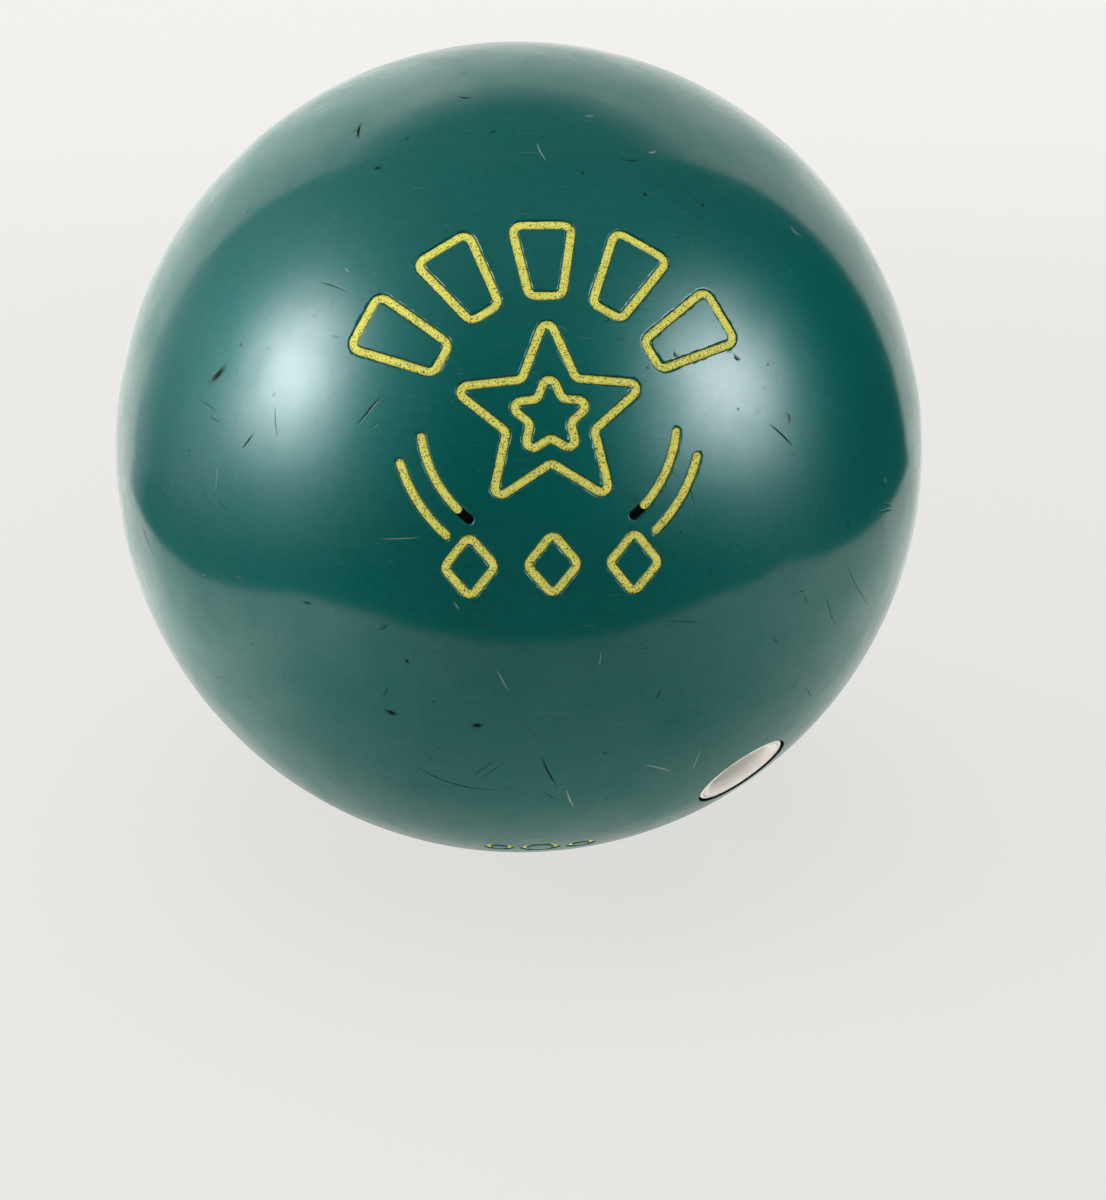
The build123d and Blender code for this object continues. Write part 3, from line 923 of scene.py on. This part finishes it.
def freckles(tree, scale, size, share):
    """Round specks of about a size, in metres, on a share of the cells of a scattered pattern."""
    inputs = {"Scale": scale, "Vector": place_in(tree)}
    cells = add_node(tree, "TexVoronoi", inputs)
    near = spread(tree, cells.outputs["Distance"], size * scale * 0.6, size * scale, 1, 0)
    pick = add_node(tree, "SeparateColor", {0: cells.outputs["Color"]}).outputs[0]
    return maths(tree, "MULTIPLY", near, maths(tree, "LESS_THAN", pick, share))


def hairlines(tree, turn, fineness, threshold):
    """Long thin lines across the piece, turned by three angles in degrees."""
    inputs = {"Vector": place_in(tree), "Rotation": np.radians(turn), "Scale": (0.05, 1, 1)}
    stretched = add_node(tree, "Mapping", inputs).outputs[0]
    lines = noise_in(tree, fineness, 2, 0.5, stretched)
    return spread(tree, lines, threshold, threshold + 0.05)


def joined(tree, marks, more, strength):
    """Marks with more of them added at a strength."""
    return maths(tree, "MAXIMUM", marks, maths(tree, "MULTIPLY", more, strength))


def urethane():
    """The well-used dark green cover: satin gloss, hairline wear, dirt in the scratches, painted
    shade in the grooves and down the hole walls, and pale scuffs.
    """
    made, tree, shader = material("green_urethane", (0.0025, 0.115, 0.105), COVER_ROUGHNESS)
    tone = spread(tree, noise_in(tree, 14, 4), 0.3, 0.7)
    base = blend(tree, tone, (0.0018, 0.101, 0.092), (0.0028, 0.116, 0.106))
    mottle = spread(tree, noise_in(tree, 650, 4, 0.65), 0.35, 0.7, 0, 0.42)
    base = blend(tree, mottle, base, (0.005, 0.15, 0.133))
    scuff = add_node(tree, "Attribute", attribute_name="scuff").outputs["Fac"]
    dirt = add_node(tree, "Attribute", attribute_name="dirt").outputs["Fac"]
    dirt = spread(tree, dirt, 0, 0.75)
    for turn, fineness, threshold in (((20, 35, 10), 1300, 0.69), ((70, -20, 60), 1200, 0.7)):
        scuff = joined(tree, scuff, hairlines(tree, turn, fineness, threshold), 0.07)
    scuff = joined(tree, scuff, freckles(tree, 190, 0.00022, 0.25), 0.12)
    dirt = joined(tree, dirt, freckles(tree, 150, 0.00035, 0.3), 0.8)
    dirt = joined(tree, dirt, freckles(tree, 420, 0.00018, 0.2), 0.5)
    dark_wear_and_shade = joined(tree, dirt, hairlines(tree, (-30, 15, 95), 1000, 0.7), 0.35)
    base = blend(tree, scuff, base, (0.36, 0.42, 0.38))
    # The dark mix below is dirt and hairline wear, and painted shade along the grooves' walls and
    # down the holes' walls.
    base = blend(tree, dark_wear_and_shade, base, (0.006, 0.009, 0.007))
    wear = maths(tree, "MAXIMUM", scuff, dirt)
    smooth = spread(tree, noise_in(tree, 45, 6, 0.6), 0.3, 0.7, *COVER_ROUGHNESS_RANGE)
    dents = bump(tree, noise_in(tree, 110, 4), 0.0001, 0.5)
    grain = bump(tree, noise_in(tree, 1100, 3, 0.6), 0.00003, 0.5)
    clean = maths(tree, "SUBTRACT", 1.0, dirt)
    polish = spread(tree, noise_in(tree, 34, 7, 0.7), 0.38, 0.66, *COAT_WEIGHT_RANGE)
    plug(
        shader,
        Base_Color=base,
        Metallic=maths(tree, "MULTIPLY", clean, COVER_TINTED_GLOSS),
        Roughness=maths(tree, "ADD", smooth, maths(tree, "MULTIPLY", wear, 0.3)),
        Normal=grain,
        Specular_IOR_Level=0.0,
        Specular_Tint=GLOSS_TINT,
        Coat_Weight=maths(tree, "MULTIPLY", maths(tree, "SUBTRACT", 1.0, dark_wear_and_shade), polish),
        Coat_Roughness=COAT_ROUGHNESS,
        Coat_Normal=dents,
    )
    return made


def engraving_paint():
    """Yellow engraving paint, speckled with dirt and darker at its edges."""
    made, tree, shader = material("engraving_paint", (0.7, 0.58, 0.04), 0.55)
    tone = spread(tree, noise_in(tree, 260, 4), 0.3, 0.7)
    base = blend(tree, tone, (0.9, 0.9, 0.13), (1.0, 0.97, 0.11))
    specks = spread(tree, noise_in(tree, 3000, 3, 0.6), 0.54, 0.6)
    patches = spread(tree, noise_in(tree, 420, 3), 0.25, 0.5)
    pale = spread(tree, noise_in(tree, 2600, 2, 0.6), 0.56, 0.64, 0, 0.8)
    base = blend(tree, pale, base, (1.0, 1.0, 0.5))
    base = blend(tree, maths(tree, "MULTIPLY", specks, patches), base, (0.1, 0.075, 0.02))
    grain = bump(tree, noise_in(tree, 1500, 4), 0.00012, 0.7)
    plug(shader, Base_Color=base, Normal=grain, Specular_IOR_Level=0.3)
    return made


def vinyl():
    """Soft white vinyl, greyed in patches by handling."""
    made, tree, shader = material("white_vinyl", (0.8, 0.76, 0.73), 0.5)
    grime = spread(tree, noise_in(tree, 90, 4), 0.4, 0.75)
    base = blend(tree, grime, (0.97, 0.96, 0.94), (0.86, 0.8, 0.77))
    plug(shader, Base_Color=base, Normal=bump(tree, noise_in(tree, 1400, 2), 0.00003, 0.6))
    plug(shader, Specular_IOR_Level=0.35, Subsurface_Weight=0.15, Subsurface_Scale=0.002)
    return made


def mottled(name, base, roughness, scale, detail, first, second):
    """A material that wanders between two colours, with its node tree and shader."""
    made, tree, shader = material(name, base, roughness)
    plug(shader, Base_Color=blend(tree, noise_in(tree, scale, detail), first, second))
    return made, tree, shader


green, yellow, white = urethane(), engraving_paint(), vinyl()

# The harder white urethane of the thumb slug, mottled, with a fine bump
tones = (0.78, 0.75, 0.71), (0.66, 0.62, 0.57)
turned_white, tree, shader = mottled("slug_urethane", (0.74, 0.71, 0.67), 0.38, 60, 4, *tones)
plug(shader, Normal=bump(tree, noise_in(tree, 1100, 2), 0.00002, 0.6))

# Black adhesive, lumpy in the seam
black, tree, shader = material("dark_glue", (0.012, 0.012, 0.012), 0.45)
plug(shader, Normal=bump(tree, noise_in(tree, 1200, 3), 0.0002, 0.8))

# The locator pin's olive resin, polished flush with the cover
tones = (0.36, 0.33, 0.1), (0.2, 0.19, 0.06)
olive, *_ = mottled("pin_resin", (0.3, 0.28, 0.08), 0.3, 500, 3, *tones)

# Pale cast filler with fine bubbles
tones = (0.6, 0.55, 0.46), (0.4, 0.36, 0.3)
filler, *_ = mottled("cast_filler", (0.55, 0.5, 0.42), 0.75, 700, 5, *tones)

# The dense brick-red block, flecked with mineral
block, tree, shader = material("mineral_block", (0.45, 0.17, 0.1), 0.55)
flecks = spread(tree, noise_in(tree, 1600, 4), 0.55, 0.62)
plug(shader, Base_Color=blend(tree, flecks, (0.42, 0.15, 0.09), (0.7, 0.5, 0.4)))

PIECES = (
    (cover, "coverstock", "coverstock", green),
    (emblem_paint, "emblem_paint", "paint", yellow),
    (lower_paint, "lower_mark_paint", "paint", yellow),
    (ring_insert, "ring_finger_insert", "finger_insert", white),
    (middle_insert, "middle_finger_insert", "finger_insert", white),
    (ring_glue, "ring_finger_glue", "glue", black),
    (middle_glue, "middle_finger_glue", "glue", black),
    (thumb_sleeve, "thumb_glue", "glue", black),
    (slug, "thumb_slug", "thumb_slug", turned_white),
    (pin, "locator_pin", "locator_pin", olive),
)
for piece, node, slot, look in PIECES:
    piece.data.materials.append(look)
    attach(piece, "root")
    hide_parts(node)
for node, look in (("core_filler", filler), ("weight_block", block)):
    mesh = frame["nodes"][node].data
    mesh.materials.clear()
    mesh.materials.append(look)


# ---- the table and the light

FLOOR = -BALL_RADIUS * METRE


def swept(name, section_at, start, end, steps):
    """A sheet turned about the ball's upright axis. section_at gives, for a compass angle from -Y
    towards +X, the sheet's (radius, height) section in metres."""
    angles = np.radians(np.linspace(start, end, steps + 1))
    points, faces = [], []
    for angle in angles:
        section = section_at(angle)
        points += [(sin(angle) * r, -cos(angle) * r, z) for r, z in section]
    size = len(section)
    for step in range(steps):
        for k in range(size - 1):
            low, high = step * size + k, (step + 1) * size + k
            faces.append((low, high, high + 1, low + 1))
    mesh = bpy.data.meshes.new(name)
    mesh.from_pydata(points, [], faces)
    mesh.shade_smooth()
    return linked_object(name, mesh)


def table_reach(angle):
    """How far the table goes from under the ball, along a compass angle."""
    ahead = np.array([sin(angle), -cos(angle)])
    reaches = []
    for first, last in zip(TABLE_OUTLINE, TABLE_OUTLINE[1:]):
        side = np.subtract(last, first)
        cross = ahead[0] * side[1] - ahead[1] * side[0]
        reach = (first[0] * side[1] - first[1] * side[0]) / cross
        share = (first[0] * ahead[1] - first[1] * ahead[0]) / cross
        if reach > 0 and 0 <= share <= 1:
            reaches.append(reach)
    return min(reaches)


def hide_from(thing, ray_kinds):
    """Hides a sheet or a lamp from some kinds of ray."""
    for kind in ray_kinds.split():
        setattr(thing, "visible_" + kind, False)


def stage_sheet(sheet, look, hidden_from):
    """Puts a sheet on the stage in its material."""
    sheet.data.materials.append(look)
    hide_from(sheet, hidden_from)


def glowing(name, tint):
    """A material that only glows, with its node tree and its emission node."""
    made = bpy.data.materials.new(name)
    made.use_nodes = True
    made.node_tree.nodes.clear()
    shine = add_node(made.node_tree, "Emission", {"Color": tint})
    add_node(made.node_tree, "OutputMaterial", {"Surface": shine.outputs[0]})
    return made, made.node_tree, shine


# The paper the ball stands on and in front of. Only the camera sees it. It glows with painted
# light over a dark colour, the glow weaker towards the ball as painted shade.
curve = np.radians(np.linspace(0, 90, 13))
backdrop_section = [(0, FLOOR), (0.3, FLOOR), (0.8, FLOOR)]
backdrop_section += [(1.2 + 0.6 * sin(a), FLOOR + 0.6 - 0.6 * cos(a)) for a in curve]
backdrop_section += [(1.8, 1.7)]
backdrop = swept("backdrop", lambda angle: backdrop_section, 0, 360, 96)
paper, tree, paper_shader = material("paper", (0.12, 0.12, 0.118), 0.9)
reach = add_node(tree, "VectorMath", {0: place_in(tree)}, operation="LENGTH")
glow = spread(tree, reach.outputs["Value"], 0.2, 1.6, 0.71, 0.83)
plug(paper_shader, Specular_IOR_Level=0.0, Emission_Color=(1, 0.99, 0.96))
plug(paper_shader, Emission_Strength=glow)
stage_sheet(backdrop, paper, "diffuse glossy transmission shadow")

# What the ball mirrors behind it and from the table, as a sheet that glows: painted reflections,
# dimmest on the table in front as painted shade. Only its gloss sees these.
UNDER = FLOOR - 0.0005
NOT_GLOSS = "camera diffuse transmission shadow"
wall_section = [(0, UNDER), (0.5, UNDER), (1.2, UNDER), (1.6, FLOOR + 0.3)]
wall_section += [(1.7, 2.3), (1.4, 2.6), (0, 2.7)]
surroundings = swept("surroundings", lambda angle: wall_section, 0, 360, 96)
bright, tree, shine = glowing("surroundings", (1, 0.975, 0.92))
where = add_node(tree, "SeparateXYZ", {0: place_in(tree)}).outputs
left_side = spread(tree, where["X"], -0.05, -0.2, TABLE_FRONT, TABLE_LEFT)
right_side = spread(tree, where["X"], 0.07, 0.22, TABLE_FRONT, TABLE_RIGHT)
behind = spread(tree, where["Y"], -0.05, 0.3, TABLE_FRONT, TABLE_BACK)
level = maths(tree, "MAXIMUM", maths(tree, "MAXIMUM", left_side, right_side), behind)
level = maths(tree, "MULTIPLY", level, spread(tree, where["Z"], 2.0, 2.6, 1, ROOM_TOP))
plug(shine, Strength=level)
stage_sheet(surroundings, bright, NOT_GLOSS)

# The dim room beyond the table, on the camera's side, with a window to each side of the camera. It
# is a sheet that glows with painted light, seen only in the ball's gloss.
ROOM_WALL = [(0.8, FLOOR + 0.001), (1.1, FLOOR + 0.15), (1.2, 0.5), (1.0, 1.1), (0.7, 1.45)]
ROOM_WALL += [(0.3, 1.55), (0.02, 1.6)]
ROOM_EDGE = UNDER + 0.0003
room = swept("room", lambda angle: [(table_reach(angle), ROOM_EDGE)] + ROOM_WALL, *ROOM_SWEEP, 96)
dim, tree, shine = glowing("dim_room", ROOM_TINT)
spot = place_in(tree)
where = add_node(tree, "SeparateXYZ", {0: spot}).outputs
sight = add_node(tree, "VectorMath", {0: spot}, operation="NORMALIZE").outputs[0]
leftward = spread(tree, where["X"], -0.4, -1.1, 0, ROOM_LEFT)
to_white = spread(tree, along_axis(tree, sight, facing(-150, 0)), 0.8, 0.94, 0, 0.7)
leftward = maths(tree, "ADD", leftward, to_white)
upward = spread(tree, where["Z"], 0.55, 1.3, ROOM_FRONT, ROOM_TOP)
window_light = 0.0
for azimuth, elevation, radiance, width in WINDOWS:
    closeness = along_axis(tree, sight, facing(azimuth, elevation))
    narrowness = radians(width) ** -2
    fall = maths(tree, "MULTIPLY", maths(tree, "SUBTRACT", closeness, 1.0), narrowness)
    patch = maths(tree, "MULTIPLY", maths(tree, "EXPONENT", fall, 0.0), radiance)
    window_light = maths(tree, "ADD", window_light, patch)
level = maths(tree, "ADD", maths(tree, "ADD", leftward, upward), window_light)
window_share = maths(tree, "DIVIDE", window_light, level)
tint = blend(tree, window_share, ROOM_TINT, WINDOW_TINT)
plug(shine, Color=tint, Strength=level)
stage_sheet(room, dim, NOT_GLOSS)

# The light that the table throws back up at the ball
bounce = swept("bounce", lambda angle: [(0, UNDER - 0.001), (1.5, UNDER - 0.001)], 0, 360, 48)
warm, tree, shine = glowing("bounce", (1, 0.97, 0.9))
plug(shine, Strength=TABLE_BOUNCE)
stage_sheet(bounce, warm, "camera glossy transmission shadow")


def soft_light(name, azimuth, elevation, distance, width, height, radiance):
    """A rectangular light facing the ball, unseen and unmirrored. Its size is in metres."""
    data = bpy.data.lights.new(name, "AREA")
    data.shape = "RECTANGLE"
    data.size, data.size_y = width, height
    data.energy = radiance * pi * width * height
    data.color = DAYLIGHT
    lamp = linked_object(name, data)
    place = Vector(facing(azimuth, elevation)) * distance
    lamp.location = place
    lamp.rotation_euler = place.to_track_quat("Z", "Y").to_euler()
    hide_from(lamp, "camera glossy")


soft_light("overhead", -30, 83, 1.6, 1.4, 1.4, OVERHEAD)
soft_light("left_fill", -95, 20, 1.2, 0.9, 0.6, LEFT_FILL)

world = bpy.data.worlds.new("world")
bpy.context.scene.world = world
world.use_nodes = True
plug(world.node_tree.nodes["Background"], Color=(1, 0.985, 0.96), Strength=0.05)
bpy.context.scene.view_settings.view_transform = "Standard"

# A program solved the place and tilt from the ball's outline, for an assumed lens and elevation.
camera_data = bpy.data.cameras.new("camera")
camera_data.lens = 45
camera_data.sensor_width = 36
camera = linked_object("camera", camera_data)
camera.location = (-0.02418, -0.40271, 0.11568)
camera.rotation_euler = [radians(angle) for angle in (68.56, 0, -4.7)]
bpy.context.scene.camera = camera
